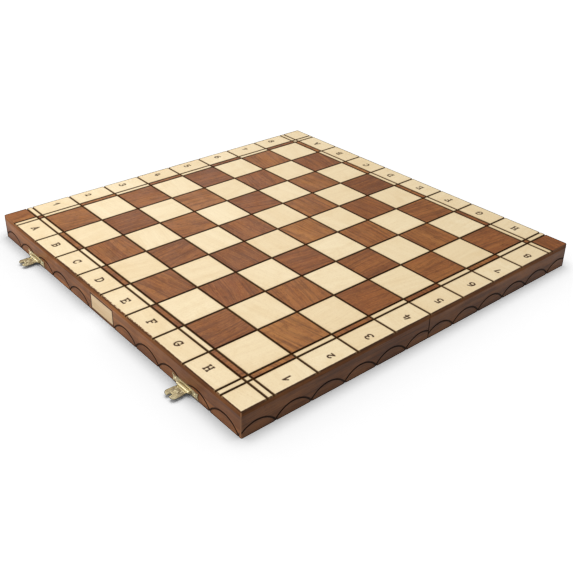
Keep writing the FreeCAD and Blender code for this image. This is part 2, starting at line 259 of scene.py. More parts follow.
def makeGrain():
    # wood that runs along the vector's X axis
    group, takes, gives = newGroup("grain", {"Vector": (0.0, 0.0, 0.0), "Fine": 1.0, "Sway": 0.004},
                                   {label: "Float" for label in grainLayers})
    drift = noiseAt(group, takes["Vector"], (11.0, 34.0, 34.0), detail=1.0)
    drift = times(group, minus(group, drift, 0.5), takes["Sway"])
    bent = vecCalc(group, "ADD", takes["Vector"], joinXyz(group, 0.0, drift, 0.0))
    scaled = addNode(group, "ShaderNodeVectorMath", operation="SCALE")
    feed(group, scaled.inputs[0], bent)
    feed(group, scaled.inputs["Scale"], takes["Fine"])
    for label, look in grainLayers.items():
        noise = noiseAt(group, scaled.outputs[0], *look["noise"])
        feed(group, gives[label], remap(group, noise, *look["span"]))
    return group


def makeBurntLines():
    # scorch that creeps out of the grooves
    waver = 0.0005  # how far its edge wanders
    group, takes, gives = newGroup("burntLines", {"Reach": 0.0004}, {"Char": "Float"})
    spot = placeOf(group)
    near = []
    for value in splitXyz(group, spot)[:2]:
        away = absolute(group, value)
        toSquare = calc(group, "PINGPONG", away, board["square"] / 2)
        toStrip = absolute(group, minus(group, away, board["strip"]))
        near.append(calc(group, "MINIMUM", toSquare, toStrip))
    ragged = minus(group, noiseAt(group, spot, 900.0, detail=2.0, rough=0.6), 0.5)
    away = timesAdd(group, ragged, -waver, calc(group, "MINIMUM", *near))
    edge = calc(group, "ADD", takes["Reach"], board["groove"] / 2)
    feed(group, gives["Char"], remap(group, away, edge, board["groove"] / 2))
    return group


scallop = {
    "pitch": 0.0405, "rise": 0.0115, "width": 0.0013,
    "base": 0.0012,         # where two of them cross
    "lead": 0.0025,         # how far a run of them is off the middle of its rail
    "plaqueGap": 0.003,     # bare rail beside the plaque
    "ragged": 0.0006,
    "notch": 0.0045, "notchTop": 0.0042, "notchFoot": 0.0006,   # dark spot under each crossing
}


def carvedArcs(group, spot, alongX):
    # rings of one radius, in runs along the rails
    x, y, z = splitXyz(group, spot)
    halfPitch = scallop["pitch"] / 2
    bowHeight = scallop["rise"] - scallop["base"]
    radius = (halfPitch ** 2 + bowHeight ** 2) / (2 * bowHeight)
    # middles of the runs beside the plaque and along the sides
    frontRun = (board["side"] + plaqueHigh.x + scallop["plaqueGap"]) / 2
    sideRun = (board["side"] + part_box("far_right_rail")[0].y) / 2
    onFront = absolute(group, calc(group, "ADD", x, scallop["lead"]))
    onFront = absolute(group, minus(group, onFront, frontRun))
    pastRun = times(group, calc(group, "LESS_THAN", y, board["front"]),
                    calc(group, "GREATER_THAN", onFront, board["side"] - frontRun))
    onLong = mixValue(group, calc(group, "LESS_THAN", y, 0.0), absolute(group, x), onFront)
    onLong = calc(group, "PINGPONG", onLong, halfPitch)
    lead = times(group, calc(group, "SIGN", x), scallop["lead"])
    middle = timesAdd(group, calc(group, "SIGN", y), sideRun, lead)
    onShort = absolute(group, minus(group, y, middle))
    onShort = absolute(group, minus(group, onShort, halfPitch))
    onShort = calc(group, "PINGPONG", onShort, halfPitch)
    across = mixValue(group, alongX, onShort, onLong)
    rise = minus(group, z, scallop["rise"] - radius)
    out = calc(group, "ADD", *(calc(group, "POWER", value, 2.0) for value in (across, rise)))
    fromArc = absolute(group, minus(group, calc(group, "SQRT", out), radius))
    ragged = times(group, noiseAt(group, spot, 700.0, detail=2.0), scallop["ragged"])
    fromArc = minus(group, fromArc, ragged)
    arc = remap(group, fromArc, scallop["width"] * 0.75, scallop["width"] * 0.3)
    notch = times(group, remap(group, across, halfPitch - scallop["notch"], halfPitch),
                  remap(group, z, scallop["notchTop"], scallop["notchFoot"]))
    arc = calc(group, "MAXIMUM", arc, times(group, notch, 0.8))
    kept = minus(group, 1.0, times(group, pastRun, alongX))
    return times(group, arc, kept)


railStain = {
    "deep": tint(91, 52, 26), "warm": tint(128, 81, 45),
    # the pale corner colour is partly wear and partly a painted highlight on the upright edges
    "wearAndHighlight": tint(190, 140, 102), "burnt": tint(34, 19, 12),
    "grain": (("Figure", 0.5, tint(66, 36, 21)), ("Fibre", 0.34, tint(153, 102, 59)),
              ("Streak", 0.5, tint(58, 31, 18)), ("Pores", 0.5, tint(44, 25, 17))),
    "wearAndHighlightFrom": 0.0012, "wearAndHighlightTo": 0.0004,    # pale line down the upright corners
    "cutFrom": 0.00008, "cutTo": 0.0004,     # a carved line lies this far behind the outer face
    "seamFrom": 0.0011, "seamTo": 0.0005,    # dark line at the fold
    "skin": 0.002, "lift": 0.00004,          # no burn farther in than this, or on the underside
}


def makeRailFinish():
    # brown stain over the sides, dark in the carved lines
    look = railStain
    group, takes, gives = newGroup("railFinish", {"Depth": 1.0},
                                   {"Stain": "Colour", "Rough": "Float", "Height": "Float"})
    spot = placeOf(group)
    x, y, z = splitXyz(group, spot)
    farX, farY = absolute(group, x), absolute(group, y)
    # the spine rails end in a mitre at the outer faces
    inMitre = calc(group, "LESS_THAN", calc(group, "ADD", farX, farY), board["side"] + board["seam"])
    onSpine = times(group, calc(group, "LESS_THAN", farY, board["rail"]), inMitre)
    alongX = calc(group, "MAXIMUM", calc(group, "GREATER_THAN", farY, farX), onSpine)
    lengthwise = mixVector(group, alongX, joinXyz(group, y, z, x), joinXyz(group, x, z, y))
    wood = placeGroup(group, grain, Vector=lengthwise, Fine=0.8, Sway=0.006)
    cloud = noiseAt(group, spot, (16.0, 16.0, 40.0), detail=3.0, rough=0.6)
    colour = mixColour(group, remap(group, cloud, 0.36, 0.66), look["deep"], look["warm"])
    for layer, share, over in look["grain"]:
        colour = glaze(group, colour, wood[layer], share, over)
    # the upright corners are rubbed pale, a wear mark that also serves as a painted highlight along the edge
    fromSides = [minus(group, board["side"], value) for value in (farX, farY)]
    rubbedAndHighlit = remap(group, calc(group, "MAXIMUM", *fromSides), look["wearAndHighlightFrom"], look["wearAndHighlightTo"])
    colour = glaze(group, colour, rubbedAndHighlit, 0.55, look["wearAndHighlight"])
    # what lies behind the outer face is cut into it
    depth = rimAway(group, x, y)
    shallow = calc(group, "LESS_THAN", depth, look["skin"])
    cut = times(group, remap(group, depth, look["cutFrom"], look["cutTo"]), shallow)
    outside = times(group, shallow, calc(group, "GREATER_THAN", z, look["lift"]))
    seam = remap(group, farY, look["seamFrom"], look["seamTo"])
    burnt = calc(group, "MAXIMUM", calc(group, "MAXIMUM", carvedArcs(group, spot, alongX), cut), seam)
    burnt = times(group, burnt, outside)
    burnt = calc(group, "MULTIPLY", burnt, takes["Depth"], clamp=True)
    feed(group, gives["Stain"], glaze(group, colour, burnt, 0.85, look["burnt"]))
    rough = timesAdd(group, wood["Fibre"], 0.12, 0.30)
    feed(group, gives["Rough"], timesAdd(group, burnt, 0.3, rough))
    feed(group, gives["Height"], timesAdd(group, wood["Pores"], -0.6, wood["Fibre"]))
    return group


rimWear = {
    "reach": 0.00045, "bleed": 0.0015, "soft": 0.0003,         # on the top: all round, in blots, its blur
    "livelyAt": 0.02, "livelyFull": 0.06, "livelyEnd": 0.15,   # most blots along the middle of the front
    "fleckFrom": 0.0005, "fleckTo": 0.0010,
    "scorchFoot": 0.0017, "scorchTop": 0.0012,                 # below the top
    "scorchIn": 0.0011, "scorchOut": 0.0006,                   # in from the rim
}


def makeRimStain():
    # the stain of the sides runs up to the rim, where the sander scorched it in dashes
    look = rimWear
    group, takes, gives = newGroup("rimStain", {"Reach": look["reach"], "Bleed": look["bleed"]},
                                   {"Stain": "Float", "Scorch": "Float"})
    spot = placeOf(group)
    x, y, z = splitXyz(group, spot)
    fromRim = rimAway(group, x, y)
    fromTop = minus(group, board["top"], z)
    blots = noiseAt(group, spot, 230.0, detail=3.0, rough=0.6)
    patch = noiseAt(group, spot, 11.0, detail=1.0)
    alongFront = absolute(group, minus(group, x, look["livelyAt"]))
    atFront = times(group, calc(group, "LESS_THAN", y, board["front"]),
                    remap(group, alongFront, look["livelyEnd"], look["livelyFull"]))
    lively = calc(group, "MAXIMUM", remap(group, patch, 0.42, 0.60, 0.05, 0.3), atFront)
    creep = times(group, remap(group, blots, 0.30, 0.70, 0.75, 1.0),
                  times(group, lively, takes["Bleed"]))
    edge = calc(group, "ADD", takes["Reach"], creep)
    inner, outer = (calc(group, way, edge, look["soft"]) for way in ("ADD", "SUBTRACT"))
    stain = remap(group, fromRim, inner, outer)
    # pale flecks where the stain only just took
    flecks = remap(group, noiseAt(group, spot, 520.0, detail=2.0), 0.48, 0.60)
    flecks = times(group, flecks,
                   remap(group, fromRim, look["fleckFrom"], look["fleckTo"], 0.0, 0.75))
    stain = times(group, stain, minus(group, 1.0, flecks))
    feed(group, gives["Stain"], stain)
    band = times(group, stain, remap(group, fromTop, look["scorchFoot"], look["scorchTop"]))
    band = times(group, band,
                 remap(group, fromRim, look["scorchIn"], look["scorchOut"], 0.25, 1.0))
    dashes = times(group, remap(group, blots, 0.40, 0.50, 0.78, 1.0),
                   remap(group, patch, 0.36, 0.54, 0.7, 1.0))
    feed(group, gives["Scorch"], times(group, band, dashes))
    return group


def makeHandling():
    # finger marks and hairline scratches in the lacquer
    group, takes, gives = newGroup("handling", {"Amount": 1.0}, {"Smudge": "Float", "Scratch": "Float"})
    spot = placeOf(group)
    smudge = noiseAt(group, spot, 38.0, detail=3.0, rough=0.6, distort=0.8)
    feed(group, gives["Smudge"], times(group, remap(group, smudge, 0.38, 0.68), takes["Amount"]))
    alongX = noiseAt(group, spot, (30.0, 1900.0, 400.0), detail=1.0, distort=0.4)
    alongY = noiseAt(group, spot, (1700.0, 26.0, 400.0), detail=1.0, distort=0.4)
    lines = calc(group, "MAXIMUM", remap(group, alongX, 0.70, 0.76), remap(group, alongY, 0.71, 0.77))
    feed(group, gives["Scratch"], times(group, lines, takes["Amount"]))
    return group


pieceLot = makePieceLot()
grain = makeGrain()
burntLines = makeBurntLines()
railFinish = makeRailFinish()
rimStain = makeRimStain()
handling = makeHandling()
print("node groups:", len(bpy.data.node_groups))


# finishes

def newFinish(name, fixed):
    material = bpy.data.materials.new(name)
    material.use_nodes = True
    shader = material.node_tree.nodes["Principled BSDF"].inputs
    for label, value in fixed.items():
        shader[label].default_value = value
    return material, material.node_tree, shader


def bumpInto(tree, shader, height, strength, distance):
    bump = addNode(tree, "ShaderNodeBump")
    bump.inputs["Strength"].default_value = strength
    bump.inputs["Distance"].default_value = distance
    feed(tree, bump.inputs["Height"], height)
    feed(tree, shader["Normal"], bump.outputs[0])


def turnedGrain(tree, turn, shift):
    # grain lies along X or along Y, a little off, and differs from piece to piece
    lean = 0.25  # radians at most
    angle = times(tree, calc(tree, "GREATER_THAN", turn, 0.5), math.pi / 2)
    angle = calc(tree, "ADD", angle, timesAdd(tree, shift, 2 * lean, -lean))
    spin = addNode(tree, "ShaderNodeVectorRotate", rotation_type="Z_AXIS")
    feed(tree, spin.inputs["Vector"], placeOf(tree))
    feed(tree, spin.inputs["Angle"], angle)
    return vecCalc(tree, "ADD", spin.outputs[0], joinXyz(tree, 0.0, shift, turn))


paleVeneer = {
    "cream": tint(240, 222, 184), "honey": tint(224, 197, 150), "fleck": tint(205, 172, 122),
    "char": tint(76, 45, 14), "burn": tint(68, 40, 16),
    "grain": (("Fibre", 0.12), ("Streak", 0.10), ("Pores", 0.10)),
    "toasted": 0.0030, "lines": 0.0008,      # how far heat and char reach out of the grooves
    "rough": 0.40, "coat": 0.12, "bump": 0.00004,
    "fixed": {"Coat Roughness": 0.28, "Specular IOR Level": 0.3},
}


def makePaleVeneer(name, seed):
    look = paleVeneer
    material, tree, shader = newFinish(name, look["fixed"])
    spot = placeOf(tree)
    lot = placeGroup(tree, pieceLot, Seed=seed)
    wood = placeGroup(tree, grain, Vector=turnedGrain(tree, lot["Turn"], lot["Warmth"]), Fine=0.9, Sway=0.003)
    marks = placeGroup(tree, handling, Amount=0.7)
    shade = timesAdd(tree, lot["Tone"], 0.45, times(tree, wood["Figure"], 0.22))
    colour = mixColour(tree, shade, look["cream"], look["honey"])
    cloud = noiseAt(tree, spot, 46.0, detail=4.0, rough=0.65, distort=0.6)
    colour = glaze(tree, colour, remap(tree, cloud, 0.46, 0.70), 0.35, look["honey"])
    flecks = noiseAt(tree, spot, 620.0, detail=2.0, rough=0.6)
    colour = glaze(tree, colour, remap(tree, flecks, 0.50, 0.72), 0.22, look["fleck"])
    for layer, share in look["grain"]:
        colour = glaze(tree, colour, wood[layer], share, look["fleck"])
    rim = placeGroup(tree, rimStain)
    sides = placeGroup(tree, railFinish, Depth=0.0)
    colour = mixColour(tree, rim["Stain"], colour, sides["Stain"])
    colour = glaze(tree, colour, rim["Scorch"], 0.85, look["burn"])
    toasted = placeGroup(tree, burntLines, Reach=look["toasted"])
    colour = glaze(tree, colour, toasted["Char"], 0.30, look["fleck"])
    lines = placeGroup(tree, burntLines, Reach=look["lines"])
    colour = glaze(tree, colour, lines["Char"], 0.92, look["char"])
    burn = addNode(tree, "ShaderNodeAttribute", attribute_name="burn").outputs["Fac"]
    feed(tree, shader["Base Color"], mixColour(tree, burn, colour, look["burn"]))
    bare = calc(tree, "MAXIMUM", calc(tree, "MAXIMUM", lines["Char"], burn), rim["Stain"])
    rough = timesAdd(tree, marks["Smudge"], 0.10, look["rough"])
    rough = timesAdd(tree, wood["Fibre"], 0.05, rough)
    feed(tree, shader["Roughness"], timesAdd(tree, bare, 0.35, rough))
    feed(tree, shader["Coat Weight"], timesAdd(tree, bare, -look["coat"], look["coat"]))
    height = timesAdd(tree, marks["Scratch"], -0.5, wood["Fibre"])
    bumpInto(tree, shader, height, 0.25, look["bump"])
    return material


redVeneer = {
    "dark": tint(100, 52, 21), "mid": tint(136, 79, 36), "tan": tint(175, 116, 58), "red": tint(134, 70, 31),
    "pore": tint(66, 32, 14), "char": tint(52, 30, 16),
    "grain": (("Fibre", 0.30, "tan"), ("Streak", 0.45, "pore"), ("Pores", 0.55, "pore")),
    "rim": 0.0006, "lines": 0.0008, "rough": 0.42, "bump": 0.00005,
    "fixed": {"Coat Weight": 0.02, "Coat Roughness": 0.25, "Specular IOR Level": 0.2},
}


def makeRedVeneer(name, seed, crossGrain):
    look = redVeneer
    material, tree, shader = newFinish(name, look["fixed"])
    spot = placeOf(tree)
    lot = placeGroup(tree, pieceLot, Seed=seed)
    turn = lot["Turn"]
    if crossGrain:  # strips are cut across a board, so their grain runs over the short way
        y = splitXyz(tree, spot)[1]
        turn = calc(tree, "GREATER_THAN", absolute(tree, y), board["field"])
    vector = turnedGrain(tree, turn, lot["Warmth"])
    wood = placeGroup(tree, grain, Vector=vector, Fine=0.75, Sway=0.014)
    marks = placeGroup(tree, handling, Amount=0.8)
    tone = timesAdd(tree, lot["Tone"], 0.7, times(tree, wood["Figure"], 0.4))
    ramp = addNode(tree, "ShaderNodeValToRGB")
    feed(tree, ramp.inputs[0], tone)
    ramp.color_ramp.elements[0].color = look["dark"]
    ramp.color_ramp.elements[1].color = look["tan"]
    ramp.color_ramp.elements.new(0.45).color = look["mid"]
    colour = glaze(tree, ramp.outputs[0], lot["Warmth"], 0.5, look["red"])
    # cloudy stain and short bright flecks over the grain
    cloud = noiseAt(tree, spot, 70.0, detail=4.0, rough=0.65, distort=0.6)
    colour = glaze(tree, colour, remap(tree, cloud, 0.44, 0.68), 0.5, look["dark"])
    flecks = noiseAt(tree, vector, (260.0, 800.0, 800.0), detail=2.0, rough=0.6)
    colour = glaze(tree, colour, remap(tree, flecks, 0.52, 0.70), 0.4, look["tan"])
    for layer, share, over in look["grain"]:
        colour = glaze(tree, colour, wood[layer], share, look[over])
    rim = placeGroup(tree, rimStain, Reach=look["rim"])
    sides = placeGroup(tree, railFinish, Depth=0.0)
    colour = mixColour(tree, rim["Stain"], colour, sides["Stain"])
    lines = placeGroup(tree, burntLines, Reach=look["lines"])
    feed(tree, shader["Base Color"], glaze(tree, colour, lines["Char"], 0.9, look["char"]))
    rough = timesAdd(tree, marks["Smudge"], 0.12, look["rough"])
    feed(tree, shader["Roughness"], timesAdd(tree, wood["Pores"], 0.15, rough))
    height = timesAdd(tree, marks["Scratch"], -0.5, wood["Fibre"])
    bumpInto(tree, shader, timesAdd(tree, wood["Pores"], -1.0, height), 0.3, look["bump"])
    return material


stainedRail = {"bump": 0.00006, "fixed": {"Specular IOR Level": 0.24}}


def makeStainedRail():
    look = stainedRail
    material, tree, shader = newFinish("stainedRail", look["fixed"])
    sides = placeGroup(tree, railFinish, Depth=1.0)
    marks = placeGroup(tree, handling, Amount=1.0)
    feed(tree, shader["Base Color"], sides["Stain"])
    feed(tree, shader["Roughness"], timesAdd(tree, marks["Smudge"], 0.10, sides["Rough"]))
    height = timesAdd(tree, marks["Scratch"], -0.4, sides["Height"])
    bumpInto(tree, shader, height, 0.3, look["bump"])
    return material


grooveFloor = {
    "char": tint(70, 43, 14), "ash": tint(94, 62, 26), "ply": tint(178, 140, 94),
    "skin": 0.0004,                          # stained this far in from the sides
    "plyAbove": 0.0001, "inlayBelow": 0.00002,   # slack at the panel's two faces
    "bump": 0.00006, "fixed": {"Specular IOR Level": 0.05},
}


def makePanelWood():
    # burnt where the grooves show it, stained at the sides, plain ply underneath
    look = grooveFloor
    material, tree, shader = newFinish("panelWood", look["fixed"])
    spot = placeOf(tree)
    x, y, z = splitXyz(tree, spot)
    sides = placeGroup(tree, railFinish, Depth=0.0)
    wood = placeGroup(tree, grain, Vector=spot, Fine=1.0, Sway=0.004)
    soot = noiseAt(tree, spot, 600.0, detail=3.0, rough=0.6)
    burnt = mixColour(tree, remap(tree, soot, 0.4, 0.75), look["char"], look["ash"])
    ply = glaze(tree, look["ply"], wood["Fibre"], 0.4, look["ash"])
    colour = mixColour(tree, calc(tree, "LESS_THAN", z, board["railTop"] + look["plyAbove"]), burnt, ply)
    atSide = times(tree, calc(tree, "LESS_THAN", rimAway(tree, x, y), look["skin"]),
                   calc(tree, "LESS_THAN", z, board["inlayFloor"] - look["inlayBelow"]))
    feed(tree, shader["Base Color"], mixColour(tree, atSide, colour, sides["Stain"]))
    feed(tree, shader["Roughness"], timesAdd(tree, soot, 0.3, 0.4))
    bumpInto(tree, shader, calc(tree, "ADD", soot, wood["Fibre"]), 0.3, look["bump"])
    return material


plaqueLook = {
    "face": tint(190, 166, 130), "shade": tint(162, 134, 96), "char": tint(70, 42, 24),
    "edge": 0.0011, "ragged": 0.0007, "bump": 0.00005,
    "fixed": {"Coat Weight": 0.15, "Coat Roughness": 0.25},
}


def makePlaqueWood():
    look = plaqueLook
    material, tree, shader = newFinish("plaqueWood", look["fixed"])
    spot = placeOf(tree)
    x, y, z = splitXyz(tree, spot)
    wood = placeGroup(tree, grain, Vector=joinXyz(tree, x, z, y), Fine=0.8, Sway=0.004)
    shade = timesAdd(tree, wood["Figure"], 0.4, times(tree, wood["Fibre"], 0.3))
    colour = mixColour(tree, shade, look["face"], look["shade"])
    fromSide = minus(tree, plaqueHigh.x, absolute(tree, x))
    fromTop = calc(tree, "MINIMUM", minus(tree, plaqueHigh.z, z),
                   minus(tree, z, plaqueLow.z))
    ragged = times(tree, noiseAt(tree, spot, 800.0, detail=2.0), look["ragged"])
    away = minus(tree, calc(tree, "MINIMUM", fromSide, fromTop), ragged)
    colour = mixColour(tree, remap(tree, away, look["edge"], 0.0), colour, look["char"])
    feed(tree, shader["Base Color"], colour)
    feed(tree, shader["Roughness"], timesAdd(tree, wood["Fibre"], 0.12, 0.38))
    bumpInto(tree, shader, wood["Fibre"], 0.3, look["bump"])
    return material


brassLook = {
    "gold": tint(214, 201, 160), "pale": tint(230, 220, 186), "dull": tint(136, 119, 84),
    "bump": 0.00008, "fixed": {"Metallic": 1.0},
}


def makeBrass(name, brushed, tarnish):
    look = brassLook
    material, tree, shader = newFinish(name, look["fixed"])
    spot = placeOf(tree)
    marks = placeGroup(tree, handling, Amount=1.0)
    film = noiseAt(tree, spot, 190.0, detail=4.0, rough=0.65)
    brushLines = noiseAt(tree, spot, (90.0, 3200.0, 3200.0), detail=2.0)
    colour = mixColour(tree, remap(tree, film, 0.35, 0.65), look["gold"], look["pale"])
    colour = glaze(tree, colour, remap(tree, film, 0.40, 0.70), tarnish, look["dull"])
    feed(tree, shader["Base Color"], colour)
    rough = timesAdd(tree, film, 0.22, 0.32)
    feed(tree, shader["Roughness"], timesAdd(tree, marks["Smudge"], 0.12, rough))
    height = timesAdd(tree, film, 1.5, times(tree, brushLines, brushed))
    height = timesAdd(tree, marks["Scratch"], -0.5, height)
    bumpInto(tree, shader, height, 0.25, look["bump"])
    return material


feltLook = {
    "wool": tint(34, 84, 58), "shadow": tint(18, 50, 34), "lint": tint(74, 122, 92),
    "bump": 0.0002, "fixed": {"Sheen Weight": 0.4, "Sheen Roughness": 0.5},
}


def makeFelt():
    look = feltLook
    material, tree, shader = newFinish("greenFelt", look["fixed"])
    spot = placeOf(tree)
    clumps = noiseAt(tree, spot, 260.0, detail=4.0, rough=0.7)
    hairs = noiseAt(tree, spot, (2600.0, 1500.0, 1500.0), detail=3.0, rough=0.7, distort=1.5)
    colour = mixColour(tree, remap(tree, clumps, 0.3, 0.7), look["shadow"], look["wool"])
    feed(tree, shader["Base Color"], glaze(tree, colour, remap(tree, hairs, 0.5, 0.8), 0.5, look["lint"]))
    feed(tree, shader["Roughness"], timesAdd(tree, hairs, 0.1, 0.88))
    bumpInto(tree, shader, timesAdd(tree, clumps, 0.6, hairs), 0.6, look["bump"])
    return material


paleWood = makePaleVeneer("paleVeneer", 3.0)
redWood = makeRedVeneer("redVeneer", 5.0, False)
redStrip = makeRedVeneer("redStripVeneer", 8.0, True)
railWood = makeStainedRail()
panelWood = makePanelWood()
plaqueWood = makePlaqueWood()
stampedBrass = makeBrass("stampedBrass", 0.4, 0.75)
turnedBrass = makeBrass("turnedBrass", 1.2, 0.4)
raisedBrass = makeBrass("raisedBrass", 0.2, 0.0)
greenFelt = makeFelt()

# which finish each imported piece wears, by the words in its name; the last word that fits counts
wear = {
    "light_squares": paleWood, "light_strips": paleWood, "light_corner": paleWood,
    "coordinate_cells": paleWood,
    "dark_squares": redWood, "dark_corner": redWood, "dark_strips": redStrip,
    "rail": railWood, "panel": panelWood, "plaque": plaqueWood, "felt": greenFelt,
    "latch_plate": stampedBrass, "tongue": stampedBrass, "catch": stampedBrass, "leaf": stampedBrass,
    "_pin": turnedBrass, "nails": turnedBrass, "screws": turnedBrass,
}
for name, piece in nodes.items():
    words = [word for word in wear if word in name]
    piece.data.materials.clear()
    piece.data.materials.append(wear[words[-1]])
print("finishes:", len(bpy.data.materials))


def newPiece(name, bm, body, material, standsFor=None):
    mesh = bpy.data.meshes.new(name)
    bm.to_mesh(mesh)
    bm.free()
    mesh.materials.append(material)
    piece = bpy.data.objects.new(name, mesh)
    bpy.context.scene.collection.objects.link(piece)
    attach(piece, body)
    if standsFor:
        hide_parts(standsFor)
    return piece


# coordinates, pressed into the border cells with a hot stamp

def bow(midX, midY, reachX, reachY, start, end):
    steps = 10
    angles = [math.radians(start + (end - start) * n / steps) for n in range(steps + 1)]
    return [(midX + reachX * math.cos(a), midY + reachY * math.sin(a)) for a in angles]


stamp = {
    "height": 0.0080, "width": 0.0066, "depth": 0.00035,
    "stroke": 0.00084, "soft": 0.0002,               # half a stroke, and its blurred edge
    "halo": 0.0006, "haloTone": 0.4,                 # scorch round the strokes
    "wobble": 0.00009, "wobblePer": (2900, 2300), "phases": 6,
    "patch": 0.0140, "step": 0.0003,                 # fine mesh under each sign
    "letterIn": 0.0142, "figureIn": 0.0106,          # from the rim to the middle of a sign
    "stray": 0.003, "tilt": 0.07,                    # most that a sign is off its place and off square
    "weld": 1e-6, "level": 1e-5,
}
# strokes in shares of the stamp's width and height, with a slab at each open end
stamps = {
    "A": [[(0.08, 0), (0.5, 1), (0.92, 0)], [(0.24, 0.34), (0.76, 0.34)],
          [(0, 0), (0.2, 0)], [(0.8, 0), (1, 0)]],
    "B": [[(0, 1), (0.5, 1)] + bow(0.5, 0.76, 0.32, 0.24, 90, -90) + [(0.16, 0.52)], [(0.16, 1), (0.16, 0)],
          [(0.5, 0.52)] + bow(0.5, 0.26, 0.38, 0.26, 90, -90) + [(0, 0)]],
    "C": [bow(0.55, 0.5, 0.45, 0.5, 48, 318), [(0.87, 0.68), (0.87, 0.98)]],
    "D": [[(0, 1), (0.42, 1)] + bow(0.42, 0.5, 0.5, 0.5, 90, -90) + [(0, 0)], [(0.16, 1), (0.16, 0)]],
    "E": [[(0, 1), (0.86, 1), (0.86, 0.82)], [(0.16, 1), (0.16, 0)], [(0.16, 0.52), (0.62, 0.52)],
          [(0, 0), (0.92, 0), (0.92, 0.2)]],
    "F": [[(0, 1), (0.9, 1), (0.9, 0.8)], [(0.18, 1), (0.18, 0)], [(0.18, 0.52), (0.66, 0.52)],
          [(0, 0), (0.38, 0)]],
    "G": [bow(0.52, 0.5, 0.46, 0.5, 50, 345), [(0.56, 0.42), (1, 0.42)], [(0.86, 0.7), (0.86, 0.98)]],
    "H": [[(0.18, 0), (0.18, 1)], [(0.82, 0), (0.82, 1)], [(0.18, 0.5), (0.82, 0.5)], [(0.06, 1), (0.3, 1)],
          [(0.7, 1), (0.94, 1)], [(0.06, 0), (0.3, 0)], [(0.7, 0), (0.94, 0)]],
    "1": [[(0.16, 0.58), (0.6, 1), (0.6, 0)]],
    "2": [bow(0.5, 0.66, 0.29, 0.24, 170, -30) + [(0.2, 0.12), (0.82, 0.12)]],
    "3": [bow(0.44, 0.75, 0.36, 0.25, 150, -80), bow(0.44, 0.27, 0.42, 0.27, 85, -150)],
    "4": [[(0.34, 1), (0.1, 0.34), (0.96, 0.34)], [(0.68, 0.86), (0.68, 0)]],
    "5": [[(0.84, 1), (0.24, 1), (0.2, 0.56)] + bow(0.46, 0.31, 0.4, 0.31, 128, -140)],
    "6": [[(0.74, 1)] + bow(0.52, 0.36, 0.42, 0.58, 110, 180) + bow(0.5, 0.3, 0.4, 0.3, 180, 540)],
    "7": [[(0.16, 0.78), (0.16, 0.9), (0.84, 0.9), (0.46, 0.12)]],
    "8": [bow(0.5, 0.75, 0.32, 0.25, -90, 270), bow(0.5, 0.26, 0.42, 0.26, 90, 450)],
}
# how far off the middle of its cell each front and right stamp went, in metres
strays = {"A": -0.0046, "B": -0.0015, "C": -0.0021, "D": -0.0015, "E": 0.0013, "F": 0.0003, "G": -0.0036,
          "H": -0.0050, "1": -0.0015, "2": 0.0008, "3": 0.0, "4": 0.0030, "5": 0.0010, "6": 0.0023,
          "7": -0.0023, "8": 0.0004}


def stampSegments(sign, tilt):
    # the strokes as straight pieces, in metres round the middle of the stamp
    cosine, sine = math.cos(tilt), math.sin(tilt)
    pieces = []
    for stroke in stamps[sign]:
        points = [((px - 0.5) * stamp["width"], (py - 0.5) * stamp["height"]) for px, py in stroke]
        points = [(px * cosine - py * sine, px * sine + py * cosine) for px, py in points]
        pieces += list(zip(points[:-1], points[1:]))
    return np.array(pieces)


def strokeDistance(spots, pieces):
    starts, ends = pieces[:, 0], pieces[:, 1]
    run = ends - starts
    lengths = np.maximum((run ** 2).sum(1), 1e-12)  # no division by nothing
    share = np.clip(((spots[:, None] - starts) * run).sum(2) / lengths, 0, 1)
    return np.linalg.norm(spots[:, None] - (starts + share[..., None] * run), axis=2).min(1)


def easeIn(value, low, high):
    t = np.clip((value - low) / (high - low), 0, 1)
    return t * t * (3 - 2 * t)


def cellSign(middle, draw):
    # sign, place, reading direction and tilt for the cell round this point
    file, rank = (math.floor(value / board["square"]) + board["halfCount"] for value in middle.xy)
    if abs(middle.y) > board["strip"]:
        known = middle.y < 0  # the front row
        sign = "ABCDEFGH"[file]
        reading = Vector((1, 0)) if known else Vector((-1, 0))
    else:
        known = middle.x > 0  # the right row
        sign = "12345678"[rank]
        reading = Vector((-1, 0)) if known else Vector((1, 0))
    stray = strays[sign] if known else draw.uniform(-stamp["stray"], stamp["stray"])
    spot = middle.xy.copy()
    if sign.isalpha():
        spot.x += stray
        spot.y = math.copysign(board["side"] - stamp["letterIn"], middle.y)
    else:
        spot.x = math.copysign(board["side"] - stamp["figureIn"], middle.x)
        spot.y += stray
    return sign, spot, reading, draw.uniform(-stamp["tilt"], stamp["tilt"])


